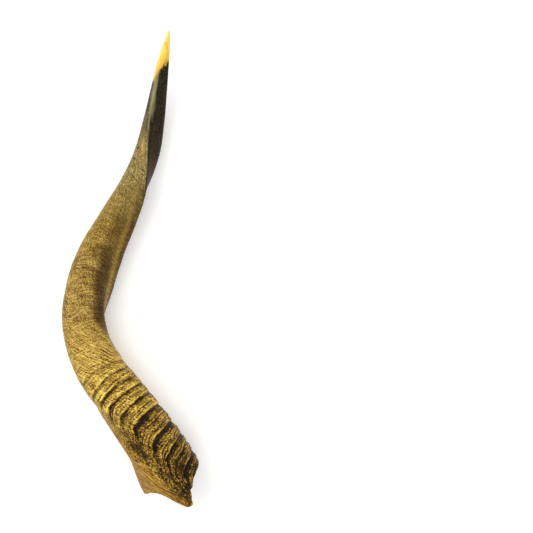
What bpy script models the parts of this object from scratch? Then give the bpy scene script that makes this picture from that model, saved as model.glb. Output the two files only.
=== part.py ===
"""One horn of a spiral-horned antelope, lying on its back: a tapering, keeled sheath of keratin, hollow at
its lower end, where the bony core of the skull sat. Metres, +Z up, the resting surface at Z = 0.

The horn is modelled straight, with its middle on the Z axis and its keel at +Y. A guide curve then bends and
twists it into its lyre shape, and the three spots that it lies on are cut to small worn flats."""

import math

import bmesh
import bpy

MM = 0.001

# ---- Driving dimensions, in millimetres and degrees ----

# Points up the middle of the horn, from below its rim to its tip: x and y in the resting plane, the height z,
# and how far the keel has turned from pointing straight up, clockwise as seen from the tip.
GUIDE = (
    (74, -290.2, 27, 0),
    (49.5, -249.7, 37.5, 19),
    (31, -215.7, 46, 44),
    (9.5, -181.2, 51, 88),
    (-14, -151.2, 50, 120),
    (-33.5, -126.7, 44.5, 146),
    (-55, -75.2, 29.3, 196),
    (-52, -26.2, 27.6, 240),
    (-40, 14.3, 25.3, 258),
    (-19, 56.8, 22.4, 276),
    (3.5, 99.3, 18.5, 317),
    (17.5, 135.8, 18.2, 355),
    (26, 173.8, 22, 377),
    (33, 212.8, 30, 391),
    (40, 250.8, 40, 395),
    (46, 278.8, 48, 397),
)
START = 46  # how far the guide begins below the rim's two corners, so that the whole rim is on it

# Along the horn, as distance from the rim's corners and a value there. BODY is the radius without ridges, and
# the others are a share of that radius, by which a ridge stands up or a hollow sinks in.
BODY = (
    (0, 36),
    (20, 36),
    (40, 34.4),
    (80, 30.8),
    (120, 30.2),
    (160, 29),
    (200, 26.5),
    (260, 26),
    (300, 24.2),
    (340, 20.8),
    (400, 17),
    (450, 14),
    (500, 10.6),
    (548, 7.1),
    (572, 4.6),
    (582, 3.1),
    (588, 1.8),
    (591, 0),
)
KEEL = ((0, 0.10), (60, 0.09), (110, 0.14), (200, 0.18), (300, 0.25), (420, 0.28), (520, 0.22), (591, 0.05))
FLUTE = ((0, 0), (150, 0.02), (220, 0.08), (320, 0.10), (400, 0.05), (591, 0))
FACE = ((0, 0.05), (200, 0.02), (380, 0.05), (480, 0.10), (560, 0.06), (591, 0))
HEEL = ((0, 0), (250, 0.03), (400, 0.12), (520, 0.12), (591, 0.02))
FLARE = ((0, 0.10), (10, 0.08), (25, 0.04), (50, 0), (591, 0))

# Where each of those lies round the horn, in degrees from the keel, clockwise as seen from the tip, how
# wide it is to each side, and which way it goes.
RIDGES = (
    (KEEL, 0, 20, 1),
    (FLUTE, 48, 20, -1),
    (FACE, -52, 28, -1),
    (HEEL, -115, 32, 1),
    (FLARE, 68, 34, 1),
)

# The bold growth rings: how far up each crest is, and how high it stands. They are strong on the front and
# fade out past the keel. Near the keel they bend down towards the rim, the lowest ones most.
ANNULI = (
    (8, 1.4),
    (28, 1.8),
    (50, 1.9),
    (71, 1.8),
    (91, 1.5),
    (107, 1.2),
    (120, 0.9),
    (132, 0.7),
    (145, 0.5),
    (160, 0.4),
)
CREST_WIDTH = 5.5
STRENGTH_ROUND = ((-180, 0.7), (-150, 1), (-40, 1), (-12, 0.5), (15, 0.1), (120, 0.1), (150, 0.4), (180, 0.7))
SAG_ROUND = ((-180, -3), (-150, 0), (-90, 0), (-60, 4), (-45, 9), (-30, 20), (-10, 33), (15, 34), (180, -3))
SAG_LESS = ((0, 1), (60, 0.9), (100, 0.45), (150, 0.1), (190, 0))

# The uneven rim: degrees round from the keel, and how far it reaches below the level of its corners.
RIM = (
    (-180, 12),
    (-150, 6),
    (-110, 0),
    (-90, 0),
    (-60, 5),
    (-45, 9),
    (-36, 13),
    (-28, 17),
    (-20, 23),
    (-12, 30),
    (-3, 29),
    (4, 19),
    (12, 4),
    (25, -2),
    (45, -3),
    (60, -2),
    (100, 3),
    (130, 8),
    (180, 12),
)
RIM_FADE = 70  # the rings above the rim follow its shape less and less, up to this distance

# The hollow that the core filled: distance from the rim, and radius.
HOLLOW = ((0, 31.5), (60, 28), (120, 25), (160, 22), (220, 16.5), (280, 9.5), (315, 4), (325, 0))

POINTS_ROUND = 36
RINGED = 172  # up to here the rings of points are close enough together to show the growth rings
RINGED_STEP = 4.3
PLAIN_STEP = 8
HOLLOW_STEP = 16

SLAB = 200  # the block below the resting surface that cuts the worn flats, far larger than the horn's width
HORN_COLOUR = (0.30, 0.20, 0.08, 1)


def read_off(table, place):
    """The value of a smooth curve through the table's points."""
    last = len(table) - 1
    if place <= table[0][0]:
        return table[0][1]
    if place >= table[last][0]:
        return table[last][1]
    i = next(k for k in range(last) if place < table[k + 1][0])

    def slope(k):
        before, after = table[max(k - 1, 0)], table[min(k + 1, last)]
        return (after[1] - before[1]) / (after[0] - before[0])

    (x0, y0), (x1, y1) = table[i], table[i + 1]
    width = x1 - x0
    t = (place - x0) / width
    bend0 = slope(i) * width * t * (1 - t) ** 2
    bend1 = slope(i + 1) * width * (1 - t) * t**2
    return y0 + (y1 - y0) * t * t * (3 - 2 * t) + bend0 - bend1


def half_turn(angle):
    """The same angle, from -180 to 180."""
    return (angle + 180) % 360 - 180


def bell(away, spread):
    """1 at nothing away, falling smoothly to 0."""
    return math.exp(-((away / spread) ** 2))


def ring_height(along, angle):
    """How high the growth rings stand here, in millimetres."""
    level = along + read_off(SAG_ROUND, angle) * read_off(SAG_LESS, along)
    height = sum(tall * bell(level - at, CREST_WIDTH) for at, tall in ANNULI)
    return height * read_off(STRENGTH_ROUND, angle)


def outer_radius(along, angle):
    """How far the horn's surface is from its middle."""
    share = sum(way * read_off(t, along) * bell(half_turn(angle - at), wide) for t, at, wide, way in RIDGES)
    return read_off(BODY, along) * (1 + share) + ring_height(along, angle)


def hollow_radius(along, angle):
    """How far the wall of the hollow is from its middle. It is round."""
    return read_off(HOLLOW, along)


def rim_drop(along, angle):
    """How far a ring of points this far up dips, to follow the rim's uneven edge."""
    if along >= RIM_FADE:
        return 0
    return read_off(RIM, angle) * (1 - along / RIM_FADE) ** 2


def ring(bm, along, radius_at):
    """One ring of points round the straight horn."""
    made = []
    for k in range(POINTS_ROUND):
        angle = half_turn(360 * k / POINTS_ROUND)
        radius = radius_at(along, angle) * MM
        height = (START + along - rim_drop(along, angle)) * MM
        turn = math.radians(angle)
        made.append(bm.verts.new((radius * math.sin(turn), radius * math.cos(turn), height)))
    return made


def join(bm, lower, upper):
    for k in range(POINTS_ROUND):
        n = (k + 1) % POINTS_ROUND
        bm.faces.new((lower[n], lower[k], upper[k], upper[n]))


def close(bm, loop, along):
    pole = bm.verts.new((0, 0, (START + along) * MM))
    for k in range(POINTS_ROUND):
        bm.faces.new((loop[(k + 1) % POINTS_ROUND], loop[k], pole))


def steps(first, last, step):
    """Evenly spaced places from first up to just short of last."""
    count = round((last - first) / step)
    return [first + (last - first) * k / count for k in range(count)]


def straight_horn():
    """The sheath before it is bent: the hollow from its blind end down to the rim, then the outside up to
    the tip."""
    bm = bmesh.new()
    tip = BODY[-1][0]
    end = HOLLOW[-1][0]
    inside = [ring(bm, s, hollow_radius) for s in steps(0, end, HOLLOW_STEP)]
    ups = steps(0, RINGED, RINGED_STEP) + steps(RINGED, tip, PLAIN_STEP)
    outside = [ring(bm, s, outer_radius) for s in ups]
    loops = inside[::-1] + outside
    for lower, upper in zip(loops, loops[1:]):
        join(bm, lower, upper)
    close(bm, outside[-1], tip)
    close(bm, inside[-1], end)
    bmesh.ops.recalc_face_normals(bm, faces=bm.faces)
    mesh = bpy.data.meshes.new("horn")
    bm.to_mesh(mesh)
    bm.free()
    mesh.shade_smooth()
    return mesh


def guide_curve():
    """The curve that the horn is bent along. Its tilt turns the keel."""
    curve = bpy.data.curves.new("guide", "CURVE")
    curve.dimensions = "3D"
    curve.twist_mode = "Z_UP"
    curve.resolution_u = 32
    spline = curve.splines.new("BEZIER")
    spline.tilt_interpolation = "CARDINAL"
    spline.bezier_points.add(len(GUIDE) - 1)
    for point, (x, y, z, turned) in zip(spline.bezier_points, GUIDE):
        point.co = (x * MM, y * MM, z * MM)
        point.tilt = -math.radians(turned)
        point.handle_left_type = "AUTO"
        point.handle_right_type = "AUTO"
    return curve


def slab_mesh():
    """The block that fills the space below the resting surface."""
    bm = bmesh.new()
    bmesh.ops.create_cube(bm, size=1)
    length = GUIDE[-1][1] - GUIDE[0][1] + SLAB
    bmesh.ops.scale(bm, vec=(2 * SLAB * MM, length * MM, SLAB * MM), verts=bm.verts)
    bmesh.ops.translate(bm, vec=(0, 0, -SLAB / 2 * MM), verts=bm.verts)
    mesh = bpy.data.meshes.new("slab")
    bm.to_mesh(mesh)
    bm.free()
    return mesh


def add(name, data):
    made = bpy.data.objects.new(name, data)
    bpy.context.scene.collection.objects.link(made)
    return made


def add_helper(name, data):
    made = add(name, data)
    made.hide_render = True
    made.display_type = "WIRE"
    return made


def keratin():
    material = bpy.data.materials.new("keratin")
    material.use_nodes = True
    shader = material.node_tree.nodes["Principled BSDF"]
    shader.inputs["Base Color"].default_value = HORN_COLOUR
    shader.inputs["Roughness"].default_value = 0.45
    shader.inputs["Metallic"].default_value = 0
    return material


def main():
    for old in list(bpy.data.objects):
        bpy.data.objects.remove(old)
    guide = add_helper("guide", guide_curve())
    slab = add_helper("slab", slab_mesh())
    horn = add("horn", straight_horn())
    horn.data.materials.append(keratin())
    bend = horn.modifiers.new("bend", "CURVE")
    bend.object = guide
    bend.deform_axis = "POS_Z"
    flats = horn.modifiers.new("worn flats", "BOOLEAN")
    flats.operation = "DIFFERENCE"
    flats.solver = "EXACT"
    flats.object = slab


main()
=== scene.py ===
# %% [markdown]
# # One antelope horn, lying on its back
# A horn is a sheath of keratin, the stuff of hooves and fingernails, that grows over a bony core. Each year's
# growth pushes the older horn up, so the tip is the oldest and smoothest part and the newest rings are at the
# base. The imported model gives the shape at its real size. This lesson makes the surface: the growth rings,
# the keel that winds round the horn, the worn ivory tip and the ragged, hollow lower end.

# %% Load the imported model
import math

import bpy
import numpy as np
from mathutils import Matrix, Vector, noise


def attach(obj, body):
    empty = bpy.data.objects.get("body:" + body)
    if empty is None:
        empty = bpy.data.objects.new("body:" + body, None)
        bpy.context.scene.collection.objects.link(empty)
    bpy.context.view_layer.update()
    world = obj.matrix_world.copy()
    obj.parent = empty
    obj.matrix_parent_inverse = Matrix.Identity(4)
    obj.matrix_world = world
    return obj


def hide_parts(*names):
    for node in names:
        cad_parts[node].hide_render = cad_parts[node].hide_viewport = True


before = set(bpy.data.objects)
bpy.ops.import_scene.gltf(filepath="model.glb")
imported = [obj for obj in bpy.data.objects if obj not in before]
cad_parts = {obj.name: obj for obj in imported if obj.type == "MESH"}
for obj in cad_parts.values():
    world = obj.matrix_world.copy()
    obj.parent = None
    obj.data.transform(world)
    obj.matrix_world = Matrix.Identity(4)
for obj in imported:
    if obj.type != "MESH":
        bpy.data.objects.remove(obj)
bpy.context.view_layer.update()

MM = 0.001

# %% [markdown]
# ## Helpers that every step uses
# Operators act on whatever is selected, so each step clears the selection first. Curves of growth, such as
# how thick the horn is along its length, are short tables of given values with a smooth line through
# them, like the stations on a boat builder's drawing.


# %% Select one object, and read a smooth table
def pick(piece):
    bpy.ops.object.select_all(action="DESELECT")
    piece.select_set(True)
    bpy.context.view_layer.objects.active = piece


def slopes(table):
    last = len(table) - 1
    ends = [(table[max(k - 1, 0)], table[min(k + 1, last)]) for k in range(last + 1)]
    return np.array([(b[1] - a[1]) / (b[0] - a[0]) for a, b in ends])


def read_off(table, places):
    """Values of the smooth curve through a table's points, for an array of places."""
    x, y = np.array(table, float).T
    lean = slopes(table)
    places = np.clip(places, x[0], x[-1])
    i = np.clip(np.searchsorted(x, places, "right") - 1, 0, len(x) - 2)
    width = x[i + 1] - x[i]
    t = (places - x[i]) / width
    level = y[i] + (y[i + 1] - y[i]) * t * t * (3 - 2 * t)
    return level + lean[i] * width * t * (1 - t) ** 2 - lean[i + 1] * width * (1 - t) * t**2


def half_turn(angle):
    return (angle + 180) % 360 - 180


def bell(away, spread):
    return np.exp(-((away / spread) ** 2))


def smooth_step(low, high, value):
    t = np.clip((value - low) / (high - low), 0, 1)
    return t * t * (3 - 2 * t)


# %% [markdown]
# ## The horn's own numbers
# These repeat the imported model's driving sizes, in millimetres and degrees. GUIDE is the line up the middle
# of the horn, with how far the keel has turned at each point. BODY is the thickness along it. The ridges and
# hollows that run lengthwise are shares of that thickness. Only HOLLOW differs: it opens a little wider at
# the rim, because a real sheath thins to a feather edge there.

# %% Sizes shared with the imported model
GUIDE = (
    (74, -290.2, 27, 0),
    (49.5, -249.7, 37.5, 19),
    (31, -215.7, 46, 44),
    (9.5, -181.2, 51, 88),
    (-14, -151.2, 50, 120),
    (-33.5, -126.7, 44.5, 146),
    (-55, -75.2, 29.3, 196),
    (-52, -26.2, 27.6, 240),
    (-40, 14.3, 25.3, 258),
    (-19, 56.8, 22.4, 276),
    (3.5, 99.3, 18.5, 317),
    (17.5, 135.8, 18.2, 355),
    (26, 173.8, 22, 377),
    (33, 212.8, 30, 391),
    (40, 250.8, 40, 395),
    (46, 278.8, 48, 397),
)
START = 46
BODY = (
    (0, 36),
    (20, 36),
    (40, 34.4),
    (80, 30.8),
    (120, 30.2),
    (160, 29),
    (200, 26.5),
    (260, 26),
    (300, 24.2),
    (340, 20.8),
    (400, 17),
    (450, 14),
    (500, 10.6),
    (548, 7.1),
    (572, 4.6),
    (582, 3.1),
    (588, 1.8),
    (591, 0),
)
KEEL = ((0, 0.10), (60, 0.09), (110, 0.14), (200, 0.18), (300, 0.25), (420, 0.28), (520, 0.22), (591, 0.05))
FLUTE = ((0, 0), (150, 0.02), (220, 0.08), (320, 0.10), (400, 0.05), (591, 0))
FACE = ((0, 0.05), (200, 0.02), (380, 0.05), (480, 0.10), (560, 0.06), (591, 0))
HEEL = ((0, 0), (250, 0.03), (400, 0.12), (520, 0.12), (591, 0.02))
FLARE = ((0, 0.10), (10, 0.08), (25, 0.04), (50, 0), (591, 0))
RIDGES = (
    (KEEL, 0, 20, 1),
    (FLUTE, 48, 20, -1),
    (FACE, -52, 28, -1),
    (HEEL, -115, 32, 1),
    (FLARE, 68, 34, 1),
)
RIM = (
    (-180, 12),
    (-150, 6),
    (-110, 0),
    (-90, 0),
    (-60, 5),
    (-45, 9),
    (-36, 13),
    (-28, 17),
    (-20, 23),
    (-12, 30),
    (-3, 29),
    (4, 19),
    (12, 4),
    (25, -2),
    (45, -3),
    (60, -2),
    (100, 3),
    (130, 8),
    (180, 12),
)
RIM_FADE = 70
HOLLOW = ((0, 33.2), (10, 31.2), (60, 28), (120, 25), (160, 22), (220, 16.5), (280, 9.5), (315, 4), (325, 0))
TIP = BODY[-1][0]
BLIND_END = HOLLOW[-1][0]

# %% [markdown]
# ## The sheath as a lathe would turn it
# A horn is nearly round in section, so it starts as a turned shape: a half outline, spun once round the
# horn's middle. The outline goes from the tip down the outside, over the rounded rim and back up the hollow
# to its blind end. A plane merged to one point gives the first vertex, and extruding it step by step draws
# the outline. The steps are short, because every ring and wrinkle later needs vertices to move.

# %% Draw the half outline
AROUND = 144
RINGED_END, SHAFT_END = 200, 430
RINGED_STEP, SHAFT_STEP, TIP_STEP, HOLLOW_STEP = 0.85, 1.05, 1.6, 6.5
LIP_ROUND, LIP_STEPS = 1, 6


def spaced(first, last, step):
    return np.linspace(first, last, max(2, round(abs(last - first) / step) + 1))


outside = np.concatenate(
    [
        spaced(TIP, SHAFT_END, TIP_STEP)[:-1],
        spaced(SHAFT_END, RINGED_END, SHAFT_STEP)[:-1],
        spaced(RINGED_END, 0, RINGED_STEP),
    ]
)
inside = spaced(0, BLIND_END, HOLLOW_STEP)
lip_turn = np.radians(np.linspace(0, 180, LIP_STEPS + 1)[1:-1])
lip_middle = (BODY[0][1] + HOLLOW[0][1]) / 2
lip_half = (BODY[0][1] - HOLLOW[0][1]) / 2
outline = [(float(r), float(s)) for r, s in zip(read_off(BODY, outside), outside)]
outline += [(lip_middle + lip_half * math.cos(a), -LIP_ROUND * math.sin(a)) for a in lip_turn]
outline += [(float(r), float(s)) for r, s in zip(read_off(HOLLOW, inside), inside)]
corners = [Vector((r * MM, 0, (START + s) * MM)) for r, s in outline]

bpy.ops.object.select_all(action="DESELECT")
bpy.ops.mesh.primitive_plane_add(size=MM, location=corners[0])
horn = bpy.context.object
horn.name = "horn_sheath"
bpy.ops.object.transform_apply(location=True, rotation=False, scale=False)
bpy.ops.object.mode_set(mode="EDIT")
bpy.ops.mesh.merge(type="CENTER")
for here, there in zip(corners, corners[1:]):
    bpy.ops.mesh.extrude_region_move(TRANSFORM_OT_translate={"value": there - here})
bpy.ops.object.mode_set(mode="OBJECT")
print("outline vertices:", len(horn.data.vertices))

# %% Spin it into a closed sheath
MERGE_WITHIN = 0.02 * MM
bpy.ops.object.mode_set(mode="EDIT")
bpy.ops.mesh.select_all(action="SELECT")
bpy.ops.mesh.spin(steps=AROUND, angle=math.tau, center=(0, 0, 0), axis=(0, 0, 1))
bpy.ops.mesh.select_all(action="SELECT")
bpy.ops.mesh.remove_doubles(threshold=MERGE_WITHIN)
bpy.ops.mesh.normals_make_consistent(inside=False)
bpy.ops.object.mode_set(mode="OBJECT")
bpy.ops.object.shade_smooth()
print("turned sheath:", len(horn.data.vertices), "vertices,", len(horn.data.polygons), "faces")

# %% [markdown]
# ## Where every vertex is on the horn
# While the horn is straight, a vertex's place is easy to say: how far it is up from the rim, and how far
# round it is from the keel. All the shaping is worked out from these two, and they are noted once, before
# anything moves. Noise is read at the straight place too, so that it never slides over the surface.

# %% Note the places
place = np.zeros(len(horn.data.vertices) * 3)
horn.data.vertices.foreach_get("co", place)
place = place.reshape(-1, 3) / MM
up = place[:, 2] - START
round_keel = np.degrees(np.arctan2(place[:, 0], place[:, 1]))
radius = np.hypot(place[:, 0], place[:, 1])
is_outer = radius >= (read_off(BODY, up) + read_off(HOLLOW, up)) / 2 - 0.01
is_outer |= up > BLIND_END


def clouds(across, along, seed, detail=1):
    """Smooth noise from about -1 to 1 over the horn, with blobs this many millimetres across and along."""
    spots = place / (across, across, along) + (seed * 17.3, seed * 5.1, seed * 9.7)
    return np.array([noise.fractal(Vector(p), 1, 2, detail) for p in spots])


# %% [markdown]
# ## Shaping by painted weights
# A sculptor would mask an area and pull. In code, the mask is a vertex group: its weight says how much of the
# full move a vertex makes, and the Displace modifier does the moving. One group raises, another sinks.


# %% Push the painted vertices
WEIGHT_LEVELS = 500


def push(piece, name, heights, direction="NORMAL"):
    """Moves the surface out by these heights in millimetres, or in where they are negative."""
    pick(piece)
    for way in (1, -1):
        part = np.maximum(way * heights, 0)
        top = float(part.max())
        if top == 0:
            continue
        group = piece.vertex_groups.new(name=name)
        levels = np.round(part / top * WEIGHT_LEVELS).astype(int)
        order = np.argsort(levels, kind="stable")
        values, starts = np.unique(levels[order], return_index=True)
        for value, members in zip(values, np.split(order, starts[1:])):
            group.add(members.tolist(), value / WEIGHT_LEVELS, "REPLACE")
        displace = piece.modifiers.new(name, "DISPLACE")
        displace.vertex_group = group.name
        displace.direction = direction
        displace.mid_level = 0
        displace.strength = way * top * MM
        bpy.ops.object.modifier_apply(modifier=displace.name)
        bpy.ops.object.vertex_group_remove(all=True)
    print(f"{name}: from {heights.min():.2f} to {heights.max():.2f} mm")


# %% [markdown]
# ## The keel and its hollows
# A keel winds up the horn with a hollow flute on one side and a flat face on the other. It is what makes the
# section of this kind of horn a rounded triangle and not a circle.

# %% Raise the keel and the heel, sink the flute and the face
shares = sum(way * read_off(t, up) * bell(half_turn(round_keel - at), wide) for t, at, wide, way in RIDGES)
keel_height = np.where(is_outer, read_off(BODY, up) * shares, 0)
push(horn, "keel across", keel_height * np.sin(np.radians(round_keel)), direction="X")
push(horn, "keel along", keel_height * np.cos(np.radians(round_keel)), direction="Y")

# %% [markdown]
# ## Growth rings
# The bold rings stand on the front of the lower half. They are the marks of seasons: closer together and
# fainter going up, where they are older and worn. Near the keel they sweep down towards the rim, and past the
# keel the horn is smooth. Each ring is a broad swell with a dark valley under it, and finer ridges lie
# between. A valley's upper wall is its steep one, with a worn brink on top. Low down near the keel the ridges
# tangle into knots, and over the heel they are rubbed down. Going up, the smooth side takes over more of the
# front, so the rings' pattern shifts round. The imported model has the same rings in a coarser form.

# %% Where each ring line runs
SHIFT_ROUND = ((0, 0), (33, 0), (71, -16), (106, -28), (135, -40), (190, -52))
SAG = ((-180, 3), (-150, 0), (-115, 2), (-90, 0), (-60, -4), (-45, -9), (-30, -20), (-20, -30), (-8, -45))
SAG_PAST_KEEL = ((-8, -45), (10, -52), (110, -20), (180, 3))
SAG_LESS = ((0, 1), (60, 0.9), (100, 0.45), (150, 0.1), (190, 0))
DIP = ((-180, -8), (-60, -8), (-20, -9), (20, -9), (40, -6), (60, -2.5), (85, 0), (122, 0), (180, -8))

turned = half_turn(round_keel - read_off(SHIFT_ROUND, up))
sag = np.where(turned < -8, read_off(SAG, turned), read_off(SAG_PAST_KEEL, turned))
dip = read_off(DIP, round_keel) * smooth_step(150, 240, up)
tangle = bell(turned + 32, 26) * (1 - smooth_step(20, 90, up))
drift = clouds(30, 18, 1) * 2 + clouds(11, 9, 2) * (0.8 + 2.2 * tangle)
drift = drift + clouds(4, 5, 8) * (0.2 + 0.8 * tangle)
level = up - sag * read_off(SAG_LESS, up) - dip + drift * (1 - 0.6 * smooth_step(150, 240, up))
print("ring levels run from", round(float(level.min())), "to", round(float(level.max())), "mm")

# %% Swells and valleys, each with its height and how far it spreads, in millimetres
CRESTS = (
    (8, 1.0, 5),
    (25, 1.1, 4),
    (36, 0.9, 3),
    (50, 1.5, 5),
    (70, 1.5, 6),
    (90, 1.3, 5),
    (106.5, 1.1, 4),
    (119, 0.9, 3.5),
    (131, 0.7, 4),
    (145, 0.5, 5),
    (160, 0.4, 5),
)
VALLEYS = (
    (-4, 0.8, 1.8),
    (5, 0.5, 1.2),
    (17, 1.3, 2.8),
    (25, 0.5, 1.1),
    (31, 0.9, 1.3),
    (41, 1.3, 2.4),
    (49, 0.5, 1.1),
    (59.5, 1.5, 3.0),
    (67, 0.6, 1.0),
    (74, 0.6, 1.2),
    (83, 1.5, 2.4),
    (91, 0.4, 1.0),
    (100, 1.3, 1.9),
    (107, 0.4, 1.0),
    (114, 1.5, 2.3),
    (125.5, 1.3, 2.1),
    (131, 0.5, 1.0),
    (138, 1.0, 1.9),
    (152, 0.8, 1.7),
    (167, 0.6, 1.5),
)
STRENGTH = (
    (-180, 0.5),
    (-150, 0.75),
    (-120, 0.9),
    (-45, 1),
    (-25, 0.8),
    (-8, 0.3),
    (8, 0.06),
    (110, 0.05),
    (180, 0.5),
)
strength = read_off(STRENGTH, turned)
uneven = np.clip(1 + 0.7 * clouds(15, 12, 9), 0.25, 1.6)
uneven = uneven * (1 - 0.75 * smooth_step(-48, -26, turned))
swell = sum(tall * bell(level - at, wide) for at, tall, wide in CRESTS)
above = [(level - at, deep, wide) for at, deep, wide in VALLEYS]
valley = sum(deep * bell(x, np.where(x > 0, 0.5, 1.4) * wide) for x, deep, wide in above) * uneven
brink = sum(deep * bell(x - 0.5 * wide - 1.3, 1.1) for x, deep, wide in above) * uneven
print("rings:", len(CRESTS), "swells and", len(VALLEYS), "valleys")

# %% The finer ridges between them, and the thin lines of the shaft
RIDGE_PITCH = 3.3
SHAFT_LINES = (
    (181, 0.25),
    (192, 0.20),
    (201, 0.35),
    (214, 0.30),
    (223, 0.25),
    (231, 0.50),
    (239, 0.30),
    (246, 0.45),
    (258, 0.60),
    (266.5, 0.50),
    (275, 0.30),
    (283, 0.70),
    (296, 0.35),
    (304, 0.25),
    (311, 0.45),
    (320, 0.25),
    (327, 0.40),
    (336, 0.25),
    (344, 0.45),
    (361, 0.30),
    (378, 0.35),
    (405, 0.25),
)
ringed = 1 - smooth_step(120, 230, up)
wave = 0.5 + 0.5 * np.cos(math.tau * (level / RIDGE_PITCH + 0.6 * clouds(12, 6, 3)))
ridges = (wave**2 - 0.38) * 0.7 * ringed * np.clip(0.7 + clouds(15, 7, 4), 0, 1.5)
wrinkle = clouds(4, 2, 5, detail=3) * 0.4 * ringed
knots = clouds(3.5, 5, 13, detail=2) * tangle
shaft_lines = 0.75 * sum(deep * bell(level - at, 1.2) for at, deep in SHAFT_LINES)
shaft_lines = shaft_lines * np.clip(0.5 + 1.3 * clouds(14, 9, 10), 0, 1.4)
shaft_swell = 0.16 * clouds(26, 4, 6, detail=2) * smooth_step(90, 200, up) * (1 - smooth_step(430, 520, up))
rubbed = 1 - 0.6 * bell(half_turn(round_keel + 115), 25)
relief = strength * (swell - valley + 0.35 * brink + rubbed * (ridges + wrinkle)) - shaft_lines + shaft_swell
relief = relief + 0.5 * knots
patches = clouds(10, 6, 14, detail=2) * (1 - smooth_step(90, 150, up))
toning = strength * (0.4 * swell - 0.9 * valley + 0.8 * brink + 1.5 * ridges + wrinkle + 0.5 * patches)
toning = toning + 0.9 * knots - 0.8 * shaft_lines + shaft_swell
toning = toning - strength * (0.3 * (1 - smooth_step(60, 110, up)) + 0.15 * (1 - smooth_step(130, 170, up)))

# %% [markdown]
# ## Scratches and nicks
# Years of rubbing against trees, and then of handling, left a few pale scratches on the bend and dark nicks
# further up. Each is a short straight stroke, cut a fraction of a millimetre deep. A long raised one
# and a dark groove beside it mark the line where the rings end along the keel.

# %% Cut the strokes: start up and round, run up and round, width, depth, and how pale
STROKES = (
    (223, -175, 7, -30, 0.7, 0.15, 0.7),
    (211, -163, 4, -34, 0.7, 0.15, 0.5),
    (231, 150, 5, -8, 0.6, 0.1, 0.5),
    (226, 131, 2, -9, 0.9, 0.15, 0.6),
    (283, 122, -8, 62, 0.9, 0.4, -0.7),
    (380, 62, -4, -36, 0.9, 0.3, -0.6),
    (442, 56, 2, -8, 1.8, 0.3, -0.9),
    (455, 64, 1, -10, 1.2, 0.2, -0.6),
    (430, 70, -2, -14, 1.4, 0.3, -0.8),
    (419, 28, -1, -22, 1.0, 0.3, -0.8),
    (408, 56, -8, -36, 1.2, 0.25, -0.7),
    (247, 150, 8, -30, 0.9, 0.2, -0.6),
    (100, -56, -48, 25, 1.3, -0.7, 0),
    (86, -38, -34, 12, 1.6, 0.7, -0.45),
)
pale = np.zeros(len(up))
for start_up, start_round, run_up, run_round, wide, deep, paleness in STROKES:
    size = float(read_off(BODY, np.array([start_up]))[0])
    begin = np.array((start_up, math.radians(start_round) * size))
    run = np.array((run_up, math.radians(run_round) * size))
    here = np.stack((up, np.radians(start_round + half_turn(round_keel - start_round)) * size))
    gone = here - begin[:, None]
    along = np.clip(run @ gone / (run @ run), 0, 1)
    mark = bell(np.hypot(*(gone - run[:, None] * along)), wide)
    relief = relief - deep * mark
    pale = pale + paleness * mark
print("strokes:", len(STROKES))
push(horn, "rings", np.where(is_outer, relief, 0))

# %% [markdown]
# ## The wall of the hollow
# Inside, the sheath carries the print of the bony core: shallow lengthwise grooves where its vessels ran.

# %% Groove the hollow lengthwise
vessels = 0.5 * clouds(3.2, 60, 11, detail=2) * (1 - smooth_step(250, 320, up))
push(horn, "hollow", np.where(is_outer | (up < 4), 0, vessels))

# %% [markdown]
# ## The ragged rim
# The rim was joined to the skin of the head. It reaches furthest down at the front in a tongue, and its edge
# is uneven and a little frayed. This moves vertices along the straight horn, so it pushes along Z.

# %% Pull the rim into shape
near_rim = np.clip(1 - up / RIM_FADE, 0, 1) ** 2
fray = (clouds(5, 40, 7, detail=2) * 0.9 + clouds(1.8, 40, 12) * 0.4) * np.clip(1 - up / 8, 0, 1) ** 2
push(horn, "rim", -read_off(RIM, round_keel) * near_rim + fray, direction="Z")

# %% [markdown]
# ## Attributes for the colours
# The colours follow the horn, not the room, so they read places stored on the mesh before the horn is bent.
# Three of these are the straight horn itself: unwarped, warped along the ring lines, and warped along the
# fibres, which wind round at the bend. The others say how much of each kind of surface a place has.


# %% Store them on the mesh
def remember(name, values):
    kind = "FLOAT_VECTOR" if values.ndim == 2 else "FLOAT"
    made = horn.data.attributes.new(name, kind, "POINT")
    made.data.foreach_set("vector" if values.ndim == 2 else "value", values.astype(np.float32).ravel())


IVORY_EDGE = (
    (-180, 554),
    (-97, 552),
    (-47, 546.5),
    (-17, 539),
    (-2, 530),
    (9, 528),
    (60, 529),
    (120, 546),
    (180, 554),
)
FIBRE_TURN = ((-60, -85), (0, -35), (50, 0), (110, 5), (160, 35), (230, 105), (300, 140), (600, 150))
wound = np.radians(read_off(FIBRE_TURN, up))
fibre_x = place[:, 0] * np.cos(wound) - place[:, 1] * np.sin(wound)
fibre_y = place[:, 0] * np.sin(wound) + place[:, 1] * np.cos(wound)
smooth_side = smooth_step(-14, 2, turned) * (1 - smooth_step(120, 150, round_keel))
smooth_side = smooth_side * (1 - smooth_step(110, 190, up)) * (1 - 0.45 * smooth_step(25, 70, up))
boundary = 0.35 * bell(turned + 19, 7) * smooth_step(-10, 10, up) * (1 - smooth_step(90, 120, up))
boundary += 1.4 * bell(round_keel + 25, 8) * bell(up - 57, 9)
boundary += 1.2 * bell(round_keel + 54, 8) * bell(up - 18, 9)
edge = -5 * smooth_step(400, 450, up) - 17 * smooth_step(478, 502, up)
# The dark face behind the keel: dark pigment, with painted shade keeping it darker than the side facing the
# light.
dark_face_and_shade = smooth_step(3, -3, round_keel - edge) * (1 - smooth_step(-95, -125, round_keel))
dark_face_and_shade = dark_face_and_shade * smooth_step(340, 385, up)
dark_back = smooth_step(466, 508, up) * smooth_step(5, 12, np.abs(round_keel - 2))
# Painted highlight: a pale line along the keel ridge where it would catch the light, wider near the tip.
keel_highlight = 0.45 * bell(round_keel + 1, 6) * smooth_step(390, 430, up) * (1 - smooth_step(478, 500, up))
keel_highlight += bell(round_keel + 9, 15) * smooth_step(466, 512, up)
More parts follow.
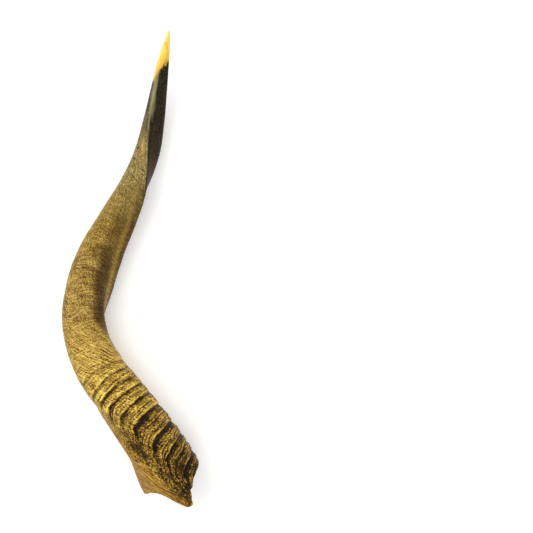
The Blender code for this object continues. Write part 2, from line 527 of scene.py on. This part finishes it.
keel_band = bell(round_keel - 28, 9) * smooth_step(240, 290, up) * (1 - smooth_step(370, 430, up))
SHADE_ROUND = ((190, 98), (216, 96), (236, 84), (277, 66), (310, 63), (341, 58), (400, 50))
# Painted shade in the flute beside the keel, where the shaft turns away from the light.
flute_shade = bell((round_keel - read_off(SHADE_ROUND, up)) ** 2, 29**2) * smooth_step(180, 222, up)
flute_shade = flute_shade * (1 - 0.6 * smooth_step(290, 335, up)) * (1 - smooth_step(340, 400, up))
# Painted shade on the keel's far side, which faces away from the light; it joins the flute's painted shade.
far_start = 22 + 24 * (1 - smooth_step(215, 275, up))
far_side_shade = smooth_step(8, -8, round_keel - far_start) * smooth_step(-100, -50, round_keel)
far_side_shade = far_side_shade * smooth_step(190, 230, up) * (1 - smooth_step(350, 430, up))
tan_patch = bell(round_keel - 19, 10) * bell(up - 446, 9)
tan_patch += 0.25 * bell(round_keel - 14, 7) * bell(up - 430, 7)
brown_face = bell(round_keel + 40, 38) * bell(up - 412, 30)
shares_of_kind = {
    "toning": np.where(is_outer, toning, 0),
    "ivory": up - read_off(IVORY_EDGE, round_keel),
    "smooth_side": smooth_side,
    "soot": np.clip(boundary, 0, 1) * is_outer,
    "dark": np.clip(dark_face_and_shade + dark_back, 0, 1),
    "keel_highlight": keel_highlight,
    "keel_band": keel_band,
    "flute_shade": np.clip(flute_shade + 0.75 * far_side_shade, 0, 1.1),
    "tan_patch": tan_patch,
    "brown_face": brown_face,
    "pale": pale * is_outer,
    "inner": np.where(is_outer, 0, 1),
}
remember("straight", place * MM)
remember("ring_lines", np.column_stack((place[:, 0], place[:, 1], level)) * MM)
remember("fibre_lines", np.column_stack((fibre_x, fibre_y, place[:, 2])) * MM)
for name, values in shares_of_kind.items():
    remember(name, values)
print("attributes:", ", ".join(["straight", "ring_lines", "fibre_lines", *shares_of_kind]))

# %% [markdown]
# ## Bend and twist
# The real horn grew bent: it leaves the head, swings out and back, and returns. A Curve modifier carries the
# straight horn along the guide, and the guide's tilt turns the keel. Then the few vertices that end up below
# the surface are pressed flat onto it: the three worn spots that the horn lies on.

# %% Bend it along the guide
bpy.ops.object.select_all(action="DESELECT")
bpy.ops.curve.primitive_bezier_curve_add()
guide = bpy.context.object
guide.name = "guide"
guide.location = (0, 0, 0)
guide.data.twist_mode = "Z_UP"
guide.data.resolution_u = 32
spline = guide.data.splines[0]
spline.tilt_interpolation = "CARDINAL"
spline.bezier_points.add(len(GUIDE) - len(spline.bezier_points))
for point, (x, y, z, keel_turn) in zip(spline.bezier_points, GUIDE):
    point.co = (x * MM, y * MM, z * MM)
    point.tilt = -math.radians(keel_turn)
    point.handle_left_type = "AUTO"
    point.handle_right_type = "AUTO"

pick(horn)
bend = horn.modifiers.new("bend", "CURVE")
bend.object = guide
bend.deform_axis = "POS_Z"
bpy.ops.object.modifier_apply(modifier=bend.name)
bpy.data.objects.remove(guide)

# %% Press the resting spots flat
bpy.ops.object.mode_set(mode="EDIT")
bpy.ops.mesh.select_all(action="DESELECT")
bpy.ops.object.mode_set(mode="OBJECT")
sunk = [v for v in horn.data.vertices if v.co.z < 0]
for vertex in sunk:
    vertex.select = True
bpy.ops.object.mode_set(mode="EDIT")
bpy.ops.transform.resize(value=(1, 1, 0), center_override=(0, 0, 0))
bpy.ops.object.mode_set(mode="OBJECT")
print("vertices pressed flat:", len(sunk))

# %% [markdown]
# ## Keratin
# Horn is keratin grown in layers, then handled and weathered. At the base it is golden brown with soot-dark
# valleys and paler crests. The shaft is olive brown and greyer going up, and the face behind the keel is
# nearly black: dark pigment, with painted shade keeping it darker than the side turned to the light. The tip
# is rubbed through to clear ivory yellow. All of it was shaped by growth and rubbing, not by a tool, so
# nothing is even: the eye reads the broken lines and speckle as something dry and grown, and the smoother,
# shinier tip as something polished by use.


# %% One function for colours, one for nodes
def colour(code):
    parts = [int(code[k : k + 2], 16) / 255 for k in (1, 3, 5)]
    linear = [p / 12.92 if p <= 0.04045 else ((p + 0.055) / 1.055) ** 2.4 for p in parts]
    return (*linear, 1)


keratin = bpy.data.materials.new("weathered_keratin")
keratin.use_nodes = True
tree = keratin.node_tree
tree.nodes.clear()


def node(kind, inputs=None, stops=None, **settings):
    """Adds one node. Inputs are sockets by name or number, each given a value or another node. Stops are a
    ramp's places and colours."""
    made = tree.nodes.new("ShaderNode" + kind)
    for name, value in settings.items():
        setattr(made, name, value)
    for socket, value in (inputs or {}).items():
        if isinstance(value, bpy.types.Node):
            value = value.outputs[2] if value.bl_idname == "ShaderNodeMix" else value.outputs[0]
        if isinstance(value, bpy.types.NodeSocket):
            tree.links.new(value, made.inputs[socket])
        else:
            made.inputs[socket].default_value = value
    if stops:
        steps = made.color_ramp.elements
        steps[0].position, steps[0].color = stops[0][0], colour(stops[0][1])
        steps[1].position, steps[1].color = stops[-1][0], colour(stops[-1][1])
        for at, code in stops[1:-1]:
            steps.new(at).color = colour(code)
    return made


share = {name: node("Attribute", attribute_name=name).outputs["Fac"] for name in shares_of_kind}
straight, ring_lines, fibre_lines = [
    node("Attribute", attribute_name=name).outputs["Vector"]
    for name in ("straight", "ring_lines", "fibre_lines")
]

# %% [markdown]
# ## Patterns in the keratin
# Four patterns are laid out in real millimetres: thin growth lines that follow the rings, fibres that run
# lengthwise and wind round at the bend, a fine speckle of wear, and broad blotches. The first three add up to
# the grain, and the blotches come in with the tones.

# %% Growth lines, fibres, speckle and blotches
line_scale = (1 / (15 * MM), 1 / (15 * MM), 1 / (2.2 * MM))
line_space = node("Mapping", {"Vector": ring_lines, "Scale": line_scale})
lines = node("TexNoise", {"Vector": line_space, "Scale": 1, "Detail": 2, "Roughness": 0.6})
fibre_scale = (1 / (1.5 * MM), 1 / (1.5 * MM), 1 / (15 * MM))
fibre_space = node("Mapping", {"Vector": fibre_lines, "Scale": fibre_scale})
fibres = node("TexNoise", {"Vector": fibre_space, "Scale": 1, "Detail": 2, "Roughness": 0.6})
speckle = node("TexNoise", {"Vector": straight, "Scale": 1 / (1.5 * MM), "Detail": 1, "Roughness": 0.7})
blotches = node("TexNoise", {"Vector": straight, "Scale": 1 / (24 * MM), "Detail": 3, "Roughness": 0.55})

# %% How much of the lines and fibres there is from rim to tip
split = node("SeparateXYZ", {0: straight})
ends = {"From Min": START * MM, "From Max": (START + TIP) * MM}
up_share = node("MapRange", {"Value": split.outputs["Z"], **ends})
LINE_STOPS = (
    (0, "#8c8c8c"),
    (0.22, "#a0a0a0"),
    (0.3, "#888888"),
    (0.4, "#a4a4a4"),
    (0.62, "#989898"),
    (0.8, "#606060"),
)
FIBRE_STOPS = (
    (0, "#606060"),
    (0.2, "#909090"),
    (0.28, "#d8d8d8"),
    (0.4, "#909090"),
    (0.6, "#808080"),
    (0.8, "#a0a0a0"),
)
line_share = node("ValToRGB", {0: up_share}, stops=LINE_STOPS)
fibre_share = node("ValToRGB", {0: up_share}, stops=FIBRE_STOPS)
LINE_PITCH = 2.8 * MM  # the real lines are 1 to 2 mm apart, too fine to show from above
line_level = node("SeparateXYZ", {0: ring_lines})
wander = node("Math", {0: lines, 1: 5.0}, operation="MULTIPLY")
line_turn = {0: line_level.outputs["Z"], 1: math.tau / LINE_PITCH, 2: wander}
phase = node("Math", line_turn, operation="MULTIPLY_ADD")
even_lines = node("Math", {0: phase}, operation="SINE")
line_part = node("Math", {0: lines, 1: 0.5}, operation="SUBTRACT")
line_part = node("Math", {0: even_lines, 1: 0.06, 2: line_part}, operation="MULTIPLY_ADD")
line_part = node("Math", {0: line_part, 1: line_share}, operation="MULTIPLY")
smooth_less = node("Math", {0: share["smooth_side"], 1: -0.85, 2: 1.0}, operation="MULTIPLY_ADD")
line_part = node("Math", {0: line_part, 1: smooth_less}, operation="MULTIPLY")
fibre_part = node("Math", {0: fibres, 1: 0.5}, operation="SUBTRACT")
fibre_part = node("Math", {0: fibre_part, 1: fibre_share}, operation="MULTIPLY")
speckle_part = node("Math", {0: speckle, 1: 0.5}, operation="SUBTRACT")
grain = node("Math", {0: line_part, 1: fibre_part}, operation="ADD")
grain = node("Math", {0: speckle_part, 1: 0.55, 2: grain}, operation="MULTIPLY_ADD")

# %% [markdown]
# ## Three tones from rim to tip
# Each place has a dark, a middle and a light tone, and the grain chooses between them. Crests are lighter
# and the valleys between them are dark. The flute beside the keel and the keel's far side are darker with
# painted shade.

# %% Mix the tones
TONES = {
    "dark": (
        (0, "#1a0d01"),
        (0.12, "#241303"),
        (0.2, "#3d2607"),
        (0.29, "#664516"),
        (0.42, "#523710"),
        (0.58, "#583f14"),
        (0.7, "#5b4d27"),
        (0.8, "#3f351c"),
    ),
    "middle": (
        (0, "#4a320e"),
        (0.12, "#674a16"),
        (0.2, "#8f6e27"),
        (0.29, "#ab893a"),
        (0.42, "#977838"),
        (0.58, "#83682b"),
        (0.7, "#847140"),
        (0.8, "#574a2b"),
    ),
    "light": (
        (0, "#c09a3f"),
        (0.12, "#dab24b"),
        (0.2, "#f0cf64"),
        (0.29, "#e6c569"),
        (0.42, "#c8aa5b"),
        (0.58, "#b2974a"),
        (0.7, "#b8a66d"),
        (0.8, "#86754a"),
    ),
}
tone = {name: node("ValToRGB", {0: up_share}, stops=stops) for name, stops in TONES.items()}
choice = node("Math", {0: grain, 1: 4.0, 2: 0.5}, operation="MULTIPLY_ADD")
# The flute's painted shade also pulls the tone choice darker.
choice = node("Math", {0: share["flute_shade"], 1: -0.32, 2: choice}, operation="MULTIPLY_ADD")
choice = node("Math", {0: share["toning"], 1: 0.38, 2: choice}, operation="MULTIPLY_ADD")
blotch_part = node("Math", {0: blotches, 1: 0.8, 2: -0.4}, operation="MULTIPLY_ADD")
choice = node("Math", {0: choice, 1: blotch_part}, operation="ADD")
low_half = node("MapRange", {"Value": choice, "From Min": 0.0, "From Max": 0.5})
high_half = node("MapRange", {"Value": choice, "From Min": 0.5, "From Max": 1.05})
grown = node("Mix", {0: low_half, 6: tone["dark"], 7: tone["middle"]}, data_type="RGBA")
grown = node("Mix", {0: high_half, 6: grown, 7: tone["light"]}, data_type="RGBA")

# %% The smooth ochre side, the keel's pale band, and the painted shade in the flute and on the keel's far side
side_grain = node("Math", {0: speckle_part, 1: 0.5, 2: fibres}, operation="MULTIPLY_ADD")
side_tone = node("ValToRGB", {0: side_grain}, stops=((0.34, "#4a2f0a"), (0.5, "#956d29"), (0.64, "#cb9f48")))
side_much = node("Math", {0: share["smooth_side"], 1: 0.8}, operation="MULTIPLY")
grown = node("Mix", {0: side_much, 6: grown, 7: side_tone}, data_type="RGBA")
band_much = node("Math", {0: share["keel_band"], 1: 0.55}, operation="MULTIPLY")
grown = node("Mix", {0: band_much, 6: grown, 7: colour("#8f733a")}, data_type="RGBA")
# Painted shade: the flute and the keel's far side are mixed towards dark brown.
shade_much = node("Math", {0: share["flute_shade"], 1: 0.74}, operation="MULTIPLY")
grown = node("Mix", {0: shade_much, 6: grown, 7: colour("#311a04")}, data_type="RGBA")

# %% Darker valleys, soot along the keel, and the strokes
# The ring valleys are mixed towards near black.
in_valley = node("MapRange", {"Value": share["toning"], "From Min": -0.3, "From Max": -1.6})
valley_darkening = node("Math", {0: in_valley, 1: 0.75}, operation="MULTIPLY")
grown = node("Mix", {0: valley_darkening, 6: grown, 7: colour("#1c1004")}, data_type="RGBA")
soot_edge = node("Math", {0: fibres, 1: 2.2, 2: -0.3}, operation="MULTIPLY_ADD")
soot_much = node("Math", {0: share["soot"], 1: soot_edge}, operation="MULTIPLY", use_clamp=True)
grown = node("Mix", {0: soot_much, 6: grown, 7: colour("#251607")}, data_type="RGBA")
pale_much = node("MapRange", {"Value": share["pale"], "From Min": 0.1, "From Max": 1.3})
grown = node("Mix", {0: pale_much, 6: grown, 7: colour("#d8c68f")}, data_type="RGBA")
nick_much = node("MapRange", {"Value": share["pale"], "From Min": -0.15, "From Max": -1.0})
grown = node("Mix", {0: nick_much, 6: grown, 7: colour("#2c1d0c")}, data_type="RGBA")

# %% The black face, partly painted shade, the painted highlight along the keel, and the tan patch
black_grain = node("Math", {0: fibre_part, 1: 1.2, 2: speckle}, operation="MULTIPLY_ADD")
black = node("ValToRGB", {0: black_grain}, stops=((0.25, "#0f0a05"), (0.5, "#251d11"), (0.75, "#453c27")))
brown_much = node("Math", {0: share["brown_face"], 1: 0.6}, operation="MULTIPLY")
black = node("Mix", {0: brown_much, 6: black, 7: colour("#4b3413")}, data_type="RGBA")
# The black face mixed in here is pigment plus painted shade on the side turned from the light.
dark_edge = node("Math", {0: grain, 1: 0.7, 2: share["dark"]}, operation="MULTIPLY_ADD")
dark_much = node("MapRange", {"Value": dark_edge, "From Min": 0.25, "From Max": 0.75})
grown = node("Mix", {0: dark_much, 6: grown, 7: black}, data_type="RGBA")
# The keel's painted highlight, mixed in pale where the ridge would catch the light.
highlight_edge = node("Math", {0: fibres, 1: 0.8, 2: -0.4}, operation="MULTIPLY_ADD")
highlight_edge = node("Math", {0: share["keel_highlight"], 1: highlight_edge}, operation="ADD")
highlight_much = node("MapRange", {"Value": highlight_edge, "From Min": 0.15, "From Max": 1.3})
grown = node("Mix", {0: highlight_much, 6: grown, 7: colour("#9d976e")}, data_type="RGBA")
grown = node("Mix", {0: share["tan_patch"], 6: grown, 7: colour("#b8944a")}, data_type="RGBA")

# %% The ivory tip
jag_space = node("Mapping", {"Vector": straight, "Scale": (1 / (1.3 * MM), 1 / (1.3 * MM), 1 / (12 * MM))})
jags = node("TexNoise", {"Vector": jag_space, "Scale": 1, "Detail": 3, "Roughness": 0.65})
ragged = node("Math", {0: jags, 1: 18, 2: -9}, operation="MULTIPLY_ADD")
ragged = node("Math", {0: share["ivory"], 1: ragged}, operation="ADD")
is_ivory = node("MapRange", {"Value": ragged, "From Min": -1.2, "From Max": 1.2})
ivory_up = node("MapRange", {"Value": ragged, "From Min": 0, "From Max": 46})
ivory = node(
    "ValToRGB",
    {0: ivory_up},
    stops=((0, "#8a611c"), (0.1, "#d9ae46"), (0.4, "#efcc5c"), (0.8, "#f4da74"), (1, "#f2e29a")),
)
worn_line = node("MapRange", {"Value": fibres, "From Min": 0.52, "From Max": 0.36, "To Max": 0.7})
ivory = node("Mix", {0: worn_line, 6: ivory, 7: colour("#cf9a34")}, data_type="RGBA")
grown = node("Mix", {0: is_ivory, 6: grown, 7: ivory}, data_type="RGBA")

# %% The hollow's wall
core_print = node("ValToRGB", {0: fibres}, stops=((0.3, "#3b2a15"), (0.55, "#6f5430"), (0.75, "#94774a")))
whole = node("Mix", {0: share["inner"], 6: grown, 7: core_print}, data_type="RGBA")

# %% Surface
not_ivory = node("Math", {0: 1.0, 1: is_ivory}, operation="SUBTRACT")
fine = node("Math", {0: grain, 1: not_ivory}, operation="MULTIPLY")
bump = node("Bump", {"Height": fine, "Distance": 1.5 * MM, "Strength": 0.8})
polish = node("MapRange", {"Value": is_ivory, "To Min": 0.46, "To Max": 0.26})
shader = node(
    "BsdfPrincipled",
    {"Base Color": whole, "Roughness": polish, "IOR": 1.54, "Specular IOR Level": 0.06, "Normal": bump},
)
node("OutputMaterial", {"Surface": shader})
horn.data.materials.clear()
horn.data.materials.append(keratin)
print("keratin:", len(tree.nodes), "nodes")

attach(horn, "root")
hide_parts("horn")

# %% [markdown]
# ## Floor, light and camera
# The horn lies on a plain pale floor under soft studio light, and the camera looks straight down on it. The
# paper glows a little by itself, like a light table, so that the horn's shadow on it stays pale.

# %% Floor
FLOOR_SIZE = 6
PAPER_GLOW = 0.14
bpy.ops.object.select_all(action="DESELECT")
bpy.ops.mesh.primitive_plane_add(size=FLOOR_SIZE, location=(0, 0, 0))
floor = bpy.context.object
floor.name = "floor"
paper = bpy.data.materials.new("white_paper")
paper.use_nodes = True
matt = paper.node_tree.nodes["Principled BSDF"]
matt.inputs["Base Color"].default_value = colour("#fbfaf8")
matt.inputs["Roughness"].default_value = 0.9
matt.inputs["Emission Color"].default_value = colour("#ffffff")
matt.inputs["Emission Strength"].default_value = PAPER_GLOW
floor.data.materials.append(paper)


# %% Lights
def soft_box(name, place, size, power):
    bpy.ops.object.light_add(type="AREA", location=place)
    lamp = bpy.context.object
    lamp.name = name
    lamp.data.shape = "DISK"
    lamp.data.size = size
    lamp.data.energy = power
    lamp.rotation_euler = (-Vector(place)).to_track_quat("-Z", "Y").to_euler()


SKY_STRENGTH = 0.9
soft_box("key", (-1.5, 0.9, 2.1), 2.6, 30)
soft_box("fill", (0.3, -0.4, 2.9), 2.2, 10)
world = bpy.data.worlds.new("soft_room")
bpy.context.scene.world = world
world.use_nodes = True
sky = world.node_tree.nodes["Background"]
sky.inputs["Color"].default_value = (1, 1, 1, 1)
sky.inputs["Strength"].default_value = SKY_STRENGTH

# %% Camera
PAIR_MIDDLE = Vector((162.6, 0, 0)) * MM
CAMERA_HEIGHT = 2.6
SEEN_WIDTH = 639.6 * MM
MIDDLE_LEVEL = 30 * MM
SENSOR_WIDTH = 36
bpy.ops.object.camera_add(location=PAIR_MIDDLE + Vector((0, 0, CAMERA_HEIGHT)), rotation=(0, 0, 0))
camera = bpy.context.object
camera.data.sensor_width = SENSOR_WIDTH
camera.data.lens = camera.data.sensor_width * (CAMERA_HEIGHT - MIDDLE_LEVEL) / SEEN_WIDTH
camera.data.clip_end = 20
bpy.context.scene.camera = camera
bpy.context.scene.view_settings.view_transform = "Standard"
